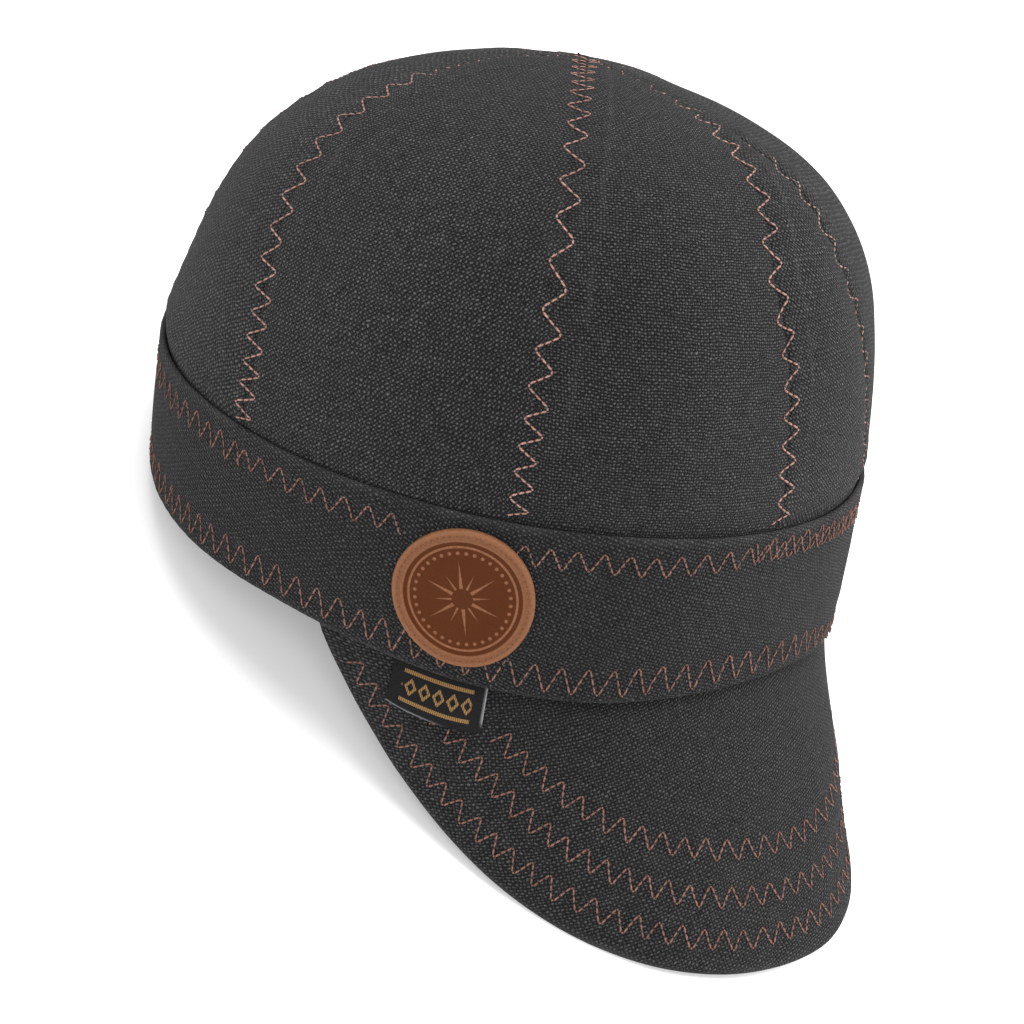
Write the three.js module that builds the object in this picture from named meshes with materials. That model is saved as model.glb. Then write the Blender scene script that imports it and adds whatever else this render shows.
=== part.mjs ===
// A welder's soft cap of charcoal cotton duck: eight crown panels, a wide band,
// a short down-turned bill, a round leather patch and a small woven label.
// Millimetres, Z up, the wearer's front towards -Y. The cap lies on a surface as it would
// by itself, on the rear of its rim and on the outer edge of its bill.
import * as THREE from 'three';

// Plan of the cap at the band's top edge, measured outside the cloth
const HALF_LENGTH = 100;
const HALF_WIDTH = 90;

// Crown
const CROWN_RISE = 84.8;
const CROWN_WALL = 2;
const CROWN_LEAN_IN = 6.6;
const CROWN_LEAN_AHEAD = 3.9;
const CROWN_TUCK = 7;
const SWELL_RISE = 5;
const PANEL_PUFF = 1.4;
const APEX_RADIUS = 1.6;

// Band
const BAND_WALL = 2.5;
const BAND_DEPTH_FRONT = 39.2;
const BAND_DEPTH_SIDE = 36.5;
const BAND_DEPTH_REAR = 31;
const BAND_QUARTER_DIP = 5.5;
const BAND_EDGE_WAVE = 1;
const BAND_FLARE_FRONT = 2.3;
const BAND_FLARE_SIDE = 0.5;
const BAND_FLARE_REAR = -2.1;

// Bill
const BILL_WALL = 2.4;
const BILL_HALF_SPREAD = 72;
const BILL_REACH = 36;
const BILL_DROP = 61.9;
const BILL_BOW = 2.5;
const BILL_HEM = 1.6;
const BILL_TUCK = 7;

// Leather patch on the band, on the wearer's right; its centre as a share of the band's depth
const PATCH_RADIUS = 16;
const PATCH_WALL = 1.8;
const PATCH_ANGLE = 48.9;
const PATCH_DOWN = 0.462;

// Woven label under the band, over the bill
const LABEL_WIDTH = 22.5;
const LABEL_DROP = 9;
const LABEL_WALL = 0.7;
const LABEL_LIFT = 0.9;
const LABEL_ANGLE = 50;

// Clearances between sewn pieces, and how far the soft edges flatten where the cap rests
const CLEARANCE = 0.3;
const REST_FLATTENING = 1;

// How round the crown is in plan and section: a higher value is squarer
const CROWN_FORM = {
  front: { plan: 2.37, section: 3.19 },
  side: { plan: 1.78, section: 2.99 },
  rear: { plan: 1.62, section: 2.79 },
};

// Seams round the crown: angle at the band from the front towards the wearer's right,
// and how far the seam has swung by the top of the crown, in degrees
const SEAMS = [
  { name: 'front', angle: 3, swing: 0 },
  { name: 'right_front', angle: 44, swing: 2 },
  { name: 'right', angle: 87, swing: 23 },
  { name: 'right_rear', angle: 134, swing: 10 },
  { name: 'rear', angle: 181, swing: 0 },
  { name: 'left_rear', angle: 230, swing: 0 },
  { name: 'left', angle: 279, swing: 0 },
  { name: 'left_front', angle: 332, swing: 22 },
];

// Rows of the crown from the tucked lower edge to the apex, as shares of a quarter turn.
// A row below zero lies inside the band.
const CROWN_ROWS = [-1, 0, 0.004, 0.018, 0.05, 0.1, 0.17, 0.26, 0.37, 0.49, 0.62, 0.75, 0.87];
const BAND_ROWS = [1, 0.8, 0.55, 0.28, 0];
const BILL_ROWS = [1, 0.88, 0.7, 0.5, 0.3, 0.13, 0, -1];
const LABEL_ROWS = [1, 0.5, 0];
const PATCH_RINGS = [1, 0.7, 0.38];
const PANEL_COLUMNS = 7;
const BAND_COLUMNS = 72;
const BILL_COLUMNS = 36;
const LABEL_COLUMNS = 5;
const PATCH_SIDES = 28;

const TUCK_INSET = BAND_WALL + CLEARANCE;
const CLOTH = { color: 0x38383a, roughness: 0.95, metalness: 0 };
const STIFF_CLOTH = { color: 0x333335, roughness: 0.95, metalness: 0 };
const LEATHER = { color: 0x6b3a1c, roughness: 0.6, metalness: 0 };
const SATIN = { color: 0x17171a, roughness: 0.7, metalness: 0 };

const radians = THREE.MathUtils.degToRad;
const shares = (count) => Array.from({ length: count + 1 }, (_, step) => step / count);

// A value that changes smoothly from the front over the side to the rear
function around(front, side, rear, angle) {
  const ahead = Math.cos(angle);
  const ends = (front * (1 + ahead) + rear * (1 - ahead)) / 2;
  return side + (ends - side) * ahead * ahead;
}

// A point at an angle round the cap, so far outside the plan outline, at a height
function onPlan(angle, out, height, scale = 1) {
  const side = (HALF_WIDTH + out) * scale;
  const along = (HALF_LENGTH + out) * scale;
  return new THREE.Vector3(-side * Math.sin(angle), -along * Math.cos(angle), height);
}

// The band dips a little further half way between the front and each side
function bandDepth(angle) {
  const dip = BAND_QUARTER_DIP * Math.sin(2 * angle) ** 2 * Math.max(Math.cos(angle), 0);
  return around(BAND_DEPTH_FRONT, BAND_DEPTH_SIDE, BAND_DEPTH_REAR, angle) + dip;
}

// The band's wall: share 0 is its top edge and 1 its rim
function bandPoint(angle, share, out) {
  const top = BAND_EDGE_WAVE * Math.cos(2 * angle);
  const flare = around(BAND_FLARE_FRONT, BAND_FLARE_SIDE, BAND_FLARE_REAR, angle);
  return onPlan(angle, out + flare * share, top - share * bandDepth(angle));
}

// The crown's wall from the band's top edge to the apex, over a quarter turn
function crownPoint(angle, turn, inset, puff) {
  if (turn <= 0) {
    const share = (-turn * CROWN_TUCK) / bandDepth(angle);
    return bandPoint(angle, share, -TUCK_INSET - inset);
  }
  const { front, side, rear } = CROWN_FORM;
  const plan = around(front.plan, side.plan, rear.plan, angle);
  const section = around(front.section, side.section, rear.section, angle);
  const quarter = (turn * Math.PI) / 2;
  const reach = Math.cos(quarter) ** (2 / plan);
  const climb = Math.sin(quarter) ** (2 / section);
  const tucked = TUCK_INSET * Math.max(0, 1 - (CROWN_RISE * climb) / SWELL_RISE);
  const lean = (CROWN_LEAN_IN / HALF_LENGTH) * Math.sin(Math.PI * climb);
  const wave = BAND_EDGE_WAVE * Math.cos(2 * angle) * (1 - climb);
  const swell = PANEL_PUFF * puff * Math.sin(Math.PI * climb);
  const height = (CROWN_RISE - inset + swell) * climb + wave;
  const point = onPlan(angle, swell - inset - tucked, height, reach * (1 - lean));
  return point.setY(point.y - CROWN_LEAN_AHEAD * climb);
}

// The seam's own angle at a row of the crown
function seamAngle(seam, turn) {
  const climb = Math.sin((Math.max(turn, 0) * Math.PI) / 2);
  return radians(seam.angle + seam.swing * climb);
}

// The bill: share 0 is where it leaves the rim, 1 its outer edge, and -1 its sewn-in edge
function billPoint(angle, share, out) {
  if (share <= 0) {
    const tucked = 1 + (share * BILL_TUCK) / bandDepth(angle);
    return bandPoint(angle, tucked, out - TUCK_INSET);
  }
  const fullness = Math.cos((angle / radians(BILL_HALF_SPREAD)) * (Math.PI / 2));
  const centred = Math.max(fullness, 0);
  const reach = BILL_REACH * centred ** 2.9;
  const drop = BILL_HEM + (BILL_DROP - BILL_HEM) * centred ** 0.925;
  const length = Math.hypot(reach, drop);
  const rim = bandPoint(angle, 1, -TUCK_INSET);
  const lift = out + BILL_BOW * 4 * share * (1 - share) * (length / BILL_DROP);
  const radial = share * reach + (lift * drop) / length;
  const away = onPlan(angle, radial, 0).sub(onPlan(angle, 0, 0));
  return rim.add(away).setZ(rim.z - share * drop + (lift * reach) / length);
}

// The turn about X that brings the bill's outer edge level with the rear of the rim
function restTurn() {
  const rear = bandPoint(Math.PI, 1, 0);
  const spread = radians(BILL_HALF_SPREAD);
  const turns = shares(BILL_COLUMNS).flatMap((step) => [0, -BILL_WALL].map((out) => {
    const edge = billPoint(spread * (2 * step - 1), 1, out);
    return Math.atan2(rear.z - edge.z, rear.y - edge.y);
  }));
  return Math.max(...turns);
}

const REST_TURN = restTurn();
const REST_LIFT = -turned(bandPoint(Math.PI, 1, 0)).z - REST_FLATTENING;

function turned(point) {
  return point.clone().applyAxisAngle(new THREE.Vector3(1, 0, 0), -REST_TURN);
}

// Lays a point of the upright cap on the surface and flattens the cloth that touches it
function settled(point) {
  const laid = turned(point);
  return laid.setZ(Math.max(laid.z + REST_LIFT, 0));
}

// A closed body from points and faces
function body(name, finish, points, faces) {
  const geometry = new THREE.BufferGeometry();
  const flat = points.flatMap((point) => settled(point).toArray());
  geometry.setAttribute('position', new THREE.Float32BufferAttribute(flat, 3));
  geometry.setIndex(faces.flat());
  geometry.computeVertexNormals();
  const mesh = new THREE.Mesh(geometry, new THREE.MeshStandardMaterial(finish));
  mesh.name = name;
  return mesh;
}

// A cloth wall: rows climb, columns turn towards the wearer's right, and spot gives the
// point of a row and column on the outer side or the inner side
function wall(name, finish, rows, columns, spot, closed = false) {
  const wide = closed ? columns.length - 1 : columns.length;
  const sheet = (inner) => rows.flatMap((row) => (
    columns.slice(0, wide).map((column) => spot(row, column, inner))
  ));
  const points = [...sheet(false), ...sheet(true)];
  const behind = rows.length * wide;
  const at = (row, column) => row * wide + (column % wide);
  const faces = [];
  const quad = (a, b, c, d) => faces.push([a, b, c], [a, c, d]);
  for (let row = 0; row < rows.length - 1; row += 1) {
    for (let column = 0; column < columns.length - 1; column += 1) {
      const [a, b] = [at(row, column), at(row + 1, column)];
      const [c, d] = [at(row + 1, column + 1), at(row, column + 1)];
      quad(a, b, c, d);
      quad(behind + d, behind + c, behind + b, behind + a);
    }
  }
  const last = rows.length - 1;
  for (let column = 0; column < columns.length - 1; column += 1) {
    const [low, lowNext] = [at(0, column), at(0, column + 1)];
    const [high, highNext] = [at(last, column), at(last, column + 1)];
    quad(lowNext, behind + lowNext, behind + low, low);
    quad(high, behind + high, behind + highNext, highNext);
  }
  for (let row = 0; row < last && !closed; row += 1) {
    const [left, leftUp] = [at(row, 0), at(row + 1, 0)];
    const [right, rightUp] = [at(row, wide - 1), at(row + 1, wide - 1)];
    quad(left, behind + left, behind + leftUp, leftUp);
    quad(rightUp, behind + rightUp, behind + right, right);
  }
  return body(name, finish, points, faces);
}

// One crown panel between a seam and the next
function crownPanel(from, to) {
  const next = to.angle > from.angle ? to : { ...to, angle: to.angle + 360 };
  const apexTurn = 1 - APEX_RADIUS / HALF_LENGTH;
  const spot = (turn, column, inner) => {
    const start = seamAngle(from, turn);
    const end = seamAngle(next, turn);
    const width = crownPoint(start, turn, 0, 0).distanceTo(crownPoint(end, turn, 0, 0));
    const gap = CLEARANCE / 2 / width;
    const angle = THREE.MathUtils.lerp(start, end, gap + (1 - 2 * gap) * column);
    const inset = inner ? CROWN_WALL : 0;
    return crownPoint(angle, turn, inset, Math.sin(Math.PI * column));
  };
  const name = `crown_panel_${from.name}_to_${to.name}`;
  return wall(name, CLOTH, [...CROWN_ROWS, apexTurn], shares(PANEL_COLUMNS), spot);
}

function band() {
  const spot = (share, column, inner) => (
    bandPoint(2 * Math.PI * column, share, inner ? -BAND_WALL : 0)
  );
  return wall('band', CLOTH, BAND_ROWS, shares(BAND_COLUMNS), spot, true);
}

function bill() {
  const spread = radians(BILL_HALF_SPREAD);
  const spot = (share, column, inner) => (
    billPoint(spread * (2 * column - 1), share, inner ? -BILL_WALL : 0)
  );
  return wall('bill', STIFF_CLOTH, BILL_ROWS, shares(BILL_COLUMNS), spot);
}

// The label hangs from under the rim, close over the bill, and lifts a little at its foot
function label() {
  const middle = radians(LABEL_ANGLE);
  const rim = bandPoint(middle, 1, 0);
  const half = LABEL_WIDTH / 2 / Math.hypot(rim.x, rim.y);
  const billLength = billPoint(middle, 1, 0).distanceTo(billPoint(middle, 0, 0));
  const spot = (row, column, inner) => {
    const angle = middle + half * (2 * column - 1);
    const share = (CLEARANCE * 3 + LABEL_DROP * row) / billLength;
    const out = CLEARANCE + LABEL_LIFT * row + (inner ? 0 : LABEL_WALL);
    return billPoint(angle, share, out);
  };
  return wall('woven_label', SATIN, LABEL_ROWS, shares(LABEL_COLUMNS), spot);
}

// The patch is a leather disc that follows the band's curve
function patch() {
  const middle = radians(PATCH_ANGLE);
  const around0 = bandPoint(middle, 0.5, 0);
  const radius = Math.hypot(around0.x, around0.y);
  const onBand = (ring, side, out) => {
    const turn = (2 * Math.PI * side) / PATCH_SIDES;
    const across = (PATCH_RADIUS * ring * Math.cos(turn)) / radius;
    const up = (PATCH_RADIUS * ring * Math.sin(turn)) / bandDepth(middle);
    return bandPoint(middle + across, PATCH_DOWN - up, CLEARANCE + out);
  };
  const points = [];
  const faces = [];
  for (const out of [PATCH_WALL, 0]) {
    const start = points.length;
    const flip = out === 0;
    const add = (a, b, c) => faces.push(flip ? [a, c, b] : [a, b, c]);
    for (const ring of PATCH_RINGS) {
      for (let side = 0; side < PATCH_SIDES; side += 1) points.push(onBand(ring, side, out));
    }
    points.push(onBand(0, 0, out));
    const centre = points.length - 1;
    const at = (ring, side) => start + ring * PATCH_SIDES + (side % PATCH_SIDES);
    for (let side = 0; side < PATCH_SIDES; side += 1) {
      for (let ring = 0; ring < PATCH_RINGS.length - 1; ring += 1) {
        add(at(ring, side), at(ring + 1, side), at(ring + 1, side + 1));
        add(at(ring, side), at(ring + 1, side + 1), at(ring, side + 1));
      }
      add(at(PATCH_RINGS.length - 1, side), centre, at(PATCH_RINGS.length - 1, side + 1));
    }
  }
  const back = points.length / 2;
  for (let side = 0; side < PATCH_SIDES; side += 1) {
    const next = (side + 1) % PATCH_SIDES;
    faces.push([side, next, back + next], [side, back + next, back + side]);
  }
  return body('leather_patch', LEATHER, points, faces);
}

// The cap stands over the middle of its own outline
const cap = new THREE.Group();
SEAMS.forEach((seam, index) => cap.add(crownPanel(seam, SEAMS[(index + 1) % SEAMS.length])));
cap.add(band(), bill(), label(), patch());
const middle = new THREE.Box3().setFromObject(cap).getCenter(new THREE.Vector3());
cap.position.set(-middle.x, -middle.y, 0);

export default cap;
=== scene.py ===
"""A welder's soft cap: duck canvas, zigzag stitching, a leather patch and a woven label."""
import logging
import math
import random
from dataclasses import dataclass, field
from enum import Enum
from typing import Callable

import bmesh
import bpy
from mathutils import Matrix, Vector, noise


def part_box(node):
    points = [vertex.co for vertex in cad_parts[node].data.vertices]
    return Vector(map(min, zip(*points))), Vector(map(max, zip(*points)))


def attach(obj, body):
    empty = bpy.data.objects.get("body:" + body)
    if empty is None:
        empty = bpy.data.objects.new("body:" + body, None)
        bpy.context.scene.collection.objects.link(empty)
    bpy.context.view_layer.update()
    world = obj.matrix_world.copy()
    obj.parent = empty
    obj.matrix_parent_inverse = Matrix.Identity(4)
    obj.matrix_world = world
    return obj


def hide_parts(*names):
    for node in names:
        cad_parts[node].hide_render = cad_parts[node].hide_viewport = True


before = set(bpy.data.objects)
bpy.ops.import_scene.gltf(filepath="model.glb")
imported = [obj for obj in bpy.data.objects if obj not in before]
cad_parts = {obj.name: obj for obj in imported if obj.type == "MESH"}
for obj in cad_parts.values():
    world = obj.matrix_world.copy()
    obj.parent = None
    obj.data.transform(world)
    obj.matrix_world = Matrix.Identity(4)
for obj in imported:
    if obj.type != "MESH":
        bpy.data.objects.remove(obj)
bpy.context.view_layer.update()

log = logging.getLogger("cap")

MM = 0.001
BODY = "root"

# The angle of the patch's middle from the front
PATCH_ANGLE = math.radians(48.9)

# A spot on a surface: how far across and along it lies, and how far it lifts off
Skin = Callable[[float, float, float], Vector]
# A sheet's point from its column and row, with its cloth coordinates and its wear
Placed = tuple[Vector, tuple[float, float], float]
Colour = tuple[float, float, float]
Socket = bpy.types.NodeSocket


class Grain(Enum):
    """How far the weave of a piece is turned from upright, in degrees, and its thread on the crown."""

    STRAIGHT = (0.0, 0.7 * MM)
    LEANING = (18.0, 0.7 * MM)
    SLANTED = (34.0, 0.9 * MM)
    BIAS = (45.0, 0.76 * MM)
    COUNTER = (-38.0, 0.82 * MM)

    @property
    def turn(self) -> float:
        """The turn in degrees."""
        return self.value[0]

    @property
    def thread(self) -> float:
        """The distance from thread to thread on the crown."""
        return self.value[1]


class Slot(Enum):
    """The record's material slots."""

    CROWN = "crown_canvas"
    BAND = "band_canvas"
    BILL = "bill_canvas"
    PATCH = "patch_leather"
    LABEL = "label_weave"
    THREAD = "stitch_thread"


def smooth(low: float, high: float, value: float) -> float:
    """Ease from 0 to 1.

    Args:
        low: The value at which the result leaves 0.
        high: The value at which the result reaches 1.
        value: The value to ease.

    Returns:
        A share between 0 and 1.
    """
    share = min(max((value - low) / (high - low), 0.0), 1.0)
    return share * share * (3.0 - 2.0 * share)


def bell(distance: float, width: float) -> float:
    """Give a soft bump.

    Args:
        distance: How far from the middle of the bump.
        width: Where the bump has fallen to about a third.

    Returns:
        1 in the middle and 0 far away.
    """
    return math.exp(-((distance / width) ** 2))


def lumps(spot: Vector, size: float) -> float:
    """Give an even, repeatable unevenness.

    Args:
        spot: Where on the cap.
        size: The distance over which it changes.

    Returns:
        A value between about -1 and 1.
    """
    return noise.noise(spot / size)


@dataclass(frozen=True)
class Around:
    """A size that changes smoothly from the front over the side to the rear."""

    front: float
    side: float
    rear: float
    quarter: float = 0.0

    def at(self, angle: float) -> float:
        """Give the size at an angle from the front.

        Args:
            angle: Angle from the front, in radians.

        Returns:
            The size there.
        """
        ahead = math.cos(angle)
        ends = (self.front * (1 + ahead) + self.rear * (1 - ahead)) / 2
        dip = self.quarter * math.sin(2 * angle) ** 2 * max(ahead, 0.0)
        return self.side + (ends - self.side) * ahead * ahead + dip


@dataclass(frozen=True)
class Seam:
    """A seam of the crown.

    The angle is that at the band, in degrees. The swing, bow and tip say how far the seam wanders on
    its way up. The rest forms its stitches, which may lie sunk in the cloth, fade out and open up
    towards the apex.
    """

    name: str
    angle: float
    swing: float
    bow: float = 0.0
    tip: float = 0.0
    pitch: float = 5.1 * MM
    stretch: float = 2.4 * MM
    width: float = 5.0 * MM
    lean: float = 0.46
    sunk: float = 0.0
    faded: float = 0.3 * MM
    opened: float = 0.0

    def at(self, turn: float) -> float:
        """Give the seam's angle at a height of the crown.

        Args:
            turn: Share of the quarter turn from the band to the apex.

        Returns:
            The angle in radians.
        """
        up = max(turn, 0.0)
        wander = self.swing * math.sin(up * math.pi / 2) + self.tip * smooth(0.55, 0.85, up)
        return math.radians(self.angle + wander + self.bow * (bell(up - 0.36, 0.17) - bell(0.36, 0.17)))


SEAMS = (
    Seam(
        "front", 3, 0, bow=4.2, tip=-4.0,
        pitch=6.3 * MM, stretch=2.3 * MM, width=5.4 * MM, lean=0.5, opened=3.6 * MM,
    ),
    Seam("right_front", 44, 2, pitch=5.5 * MM, stretch=5.1 * MM, lean=0.42, faded=0.0),
    Seam("right", 87, 23, stretch=2.7 * MM, width=6.4 * MM, faded=0.32 * MM),
    Seam("right_rear", 134, 10),
    Seam("rear", 181, 0),
    Seam("left_rear", 230, 0),
    Seam("left", 279, 0),
    Seam("left_front", 332, 22, bow=2.5, tip=1.0, pitch=6.2 * MM, sunk=0.24 * MM),
)


@dataclass(frozen=True)
class BillSide:
    """One side of the bill: how far it spreads, and how fast its reach and its drop run out."""

    spread: float
    reach_power: float
    drop_power: float


@dataclass
class CapForm:
    """The shape of the cap, upright, and how it lies on the surface."""

    half_length: float = 100 * MM
    half_width: float = 90 * MM
    crown_rise: float = 84.8 * MM
    crown_wall: float = 2 * MM
    crown_lean_in: float = 6.6 * MM
    crown_lean_ahead: float = 3.9 * MM
    crown_tuck: float = 7 * MM
    swell_rise: float = 5 * MM
    band_wall: float = 2.5 * MM
    band_edge_wave: float = 1 * MM
    bill_wall: float = 2.4 * MM
    bill_reach: float = 37 * MM
    bill_drop: float = 59.1 * MM
    bill_bow: float = 1.3 * MM
    bill_hem: float = 1.6 * MM
    bill_tuck: float = 7 * MM
    clearance: float = 0.3 * MM
    rest_flattening: float = 1 * MM
    left_spread: float = 1.55 * MM
    right: BillSide = BillSide(math.radians(69.5), 2.09, 0.773)
    left: BillSide = BillSide(math.radians(65.9), 3.26, 0.813)
    depth: Around = Around(39.2 * MM, 36.5 * MM, 31 * MM, 5.5 * MM)
    flare: Around = Around(2.3 * MM, 0.5 * MM, -2.1 * MM)
    plan: Around = Around(2.37, 1.78, 1.62)
    section: Around = Around(3.19, 2.99, 2.79)
    rest_turn: float = field(init=False)
    rest_lift: float = field(init=False, default=0.0)
    rest_shift: float = field(init=False, default=0.0)

    def __post_init__(self) -> None:
        """Lay the cap down and line it up with the frame."""
        self.rest_turn = self._turn_to_rest()
        rear_rim = self.band(math.pi, 1, 0)
        self.rest_lift = -self.turned(rear_rim).z - self.rest_flattening
        rear = max(self.settled(self.band(math.pi, share, 0)).y for share in (0, 1))
        self.rest_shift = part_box("band")[1].y - rear

    @property
    def tuck_inset(self) -> float:
        """How far inside the band's outer face a tucked piece lies."""
        return self.band_wall + self.clearance

    def plan_point(self, angle: float, out: float, height: float, scale: float = 1) -> Vector:
        """Give a point on the plan's oval.

        Args:
            angle: Angle from the front towards the wearer's right.
            out: Distance outside the oval.
            height: Height above the band's top edge.
            scale: Share of the oval's size.

        Returns:
            The point on the upright cap.
        """
        side = (self.half_width + out) * scale
        along = (self.half_length + out) * scale
        return Vector((-side * math.sin(angle), -along * math.cos(angle), height))

    def band(self, angle: float, share: float, out: float) -> Vector:
        """Give a point of the band's wall.

        Args:
            angle: Angle from the front.
            share: 0 at the top edge, 1 at the rim.
            out: Distance outside the outer face.

        Returns:
            The point on the upright cap.
        """
        top = self.band_edge_wave * math.cos(2 * angle)
        height = top - share * self.depth.at(angle)
        flare = self.flare.at(angle) + self.left_spread * max(-math.sin(angle), 0.0)
        return self.plan_point(angle, out + flare * share, height)

    def crown(self, angle: float, turn: float, out: float) -> Vector:
        """Give a point of the crown's wall.

        Args:
            angle: Angle from the front.
            turn: Below 0 inside the band, then the share of the quarter turn to the apex.
            out: Distance outside the outer face.

        Returns:
            The point on the upright cap.
        """
        if turn <= 0:
            share = -turn * self.crown_tuck / self.depth.at(angle)
            return self.band(angle, share, out - self.tuck_inset)
        quarter = min(turn, 0.99999) * math.pi / 2
        reach = math.cos(quarter) ** (2 / self.plan.at(angle))
        climb = math.sin(quarter) ** (2 / self.section.at(angle))
        tucked = self.tuck_inset * max(0.0, 1 - self.crown_rise * climb / self.swell_rise)
        lean = self.crown_lean_in / self.half_length * math.sin(math.pi * climb)
        wave = self.band_edge_wave * math.cos(2 * angle) * (1 - climb)
        height = (self.crown_rise + out) * climb + wave
        point = self.plan_point(angle, out - tucked, height, reach * (1 - lean))
        return point - Vector((0, self.crown_lean_ahead * climb, 0))

    def from_axis(self, point: Vector) -> float:
        """Give how far a crown point lies from the crown's leaning axis."""
        ahead = self.crown_lean_ahead * point.z / self.crown_rise
        return math.hypot(point.x, point.y + ahead)

    def side(self, angle: float) -> BillSide:
        """Give the bill's side at an angle."""
        return self.right if angle > 0 else self.left

    def bill_size(self, angle: float) -> tuple[float, float]:
        """Give how far the bill reaches out and drops.

        Args:
            angle: Angle from the front.

        Returns:
            Its reach and its drop.
        """
        side = self.side(angle)
        full = max(math.cos(angle / side.spread * math.pi / 2), 0.0)
        reach = self.bill_reach * full**side.reach_power
        drop = (self.bill_drop - self.bill_hem) * full**side.drop_power
        return reach, self.bill_hem + drop

    def bill(self, angle: float, share: float, out: float) -> Vector:
        """Give a point of the bill.

        Args:
            angle: Angle from the front.
            share: -1 at the sewn-in edge, 0 at the rim, 1 at the outer edge.
            out: Distance outside the upper face.

        Returns:
            The point on the upright cap.
        """
        if share <= 0:
            tucked = 1 + share * self.bill_tuck / self.depth.at(angle)
            return self.band(angle, tucked, out - self.tuck_inset)
        reach, drop = self.bill_size(angle)
        length = math.hypot(reach, drop)
        lift = out + self.bill_bow * 4 * share * (1 - share) * length / self.bill_drop
        radial = share * reach + lift * drop / length
        away = self.plan_point(angle, radial, 0) - self.plan_point(angle, 0, 0)
        rim = self.band(angle, 1, -self.tuck_inset)
        return rim + away + Vector((0, 0, lift * reach / length - share * drop))

    def _turn_to_rest(self) -> float:
        """Give the turn about X that levels the bill's outer edge with the rear of the rim.

        Returns:
            The turn in radians.
        """
        rear = self.band(math.pi, 1, 0)
        turns = []
        for step in range(-18, 19):
            for out in (0.0, -self.bill_wall):
                edge = self.bill(self.side(step).spread * step / 18, 1, out)
                turns.append(math.atan2(rear.z - edge.z, rear.y - edge.y))
        return max(turns)

    def turned(self, point: Vector) -> Vector:
        """Turn an upright point or direction as the resting cap is turned."""
        return Matrix.Rotation(-self.rest_turn, 3, "X") @ point

    def settled(self, point: Vector) -> Vector:
        """Lay an upright point on the surface.

        Args:
            point: A point of the upright cap.

        Returns:
            The point in the frame, no lower than the surface.
        """
        laid = self.turned(point)
        return Vector((laid.x, laid.y + self.rest_shift, max(laid.z + self.rest_lift, 0.0)))


FORM = CapForm()


def lifted(skin: Skin, across: float, along: float, height: float) -> Vector:
    """Lift a spot squarely off a skin.

    Args:
        skin: The surface.
        across: Place across the surface.
        along: Place along the surface.
        height: How far the spot lifts off.

    Returns:
        The lifted point on the upright cap.
    """
    step = 1e-3
    here = skin(across, along, 0)
    side = skin(across + step, along, 0) - skin(across - step, along, 0)
    climb = skin(across, along + step, 0) - skin(across, along - step, 0)
    normal = climb.cross(side).normalized()
    if normal.dot(skin(across, along, MM) - here) < 0:
        normal.negate()
    return here + normal * height


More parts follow.
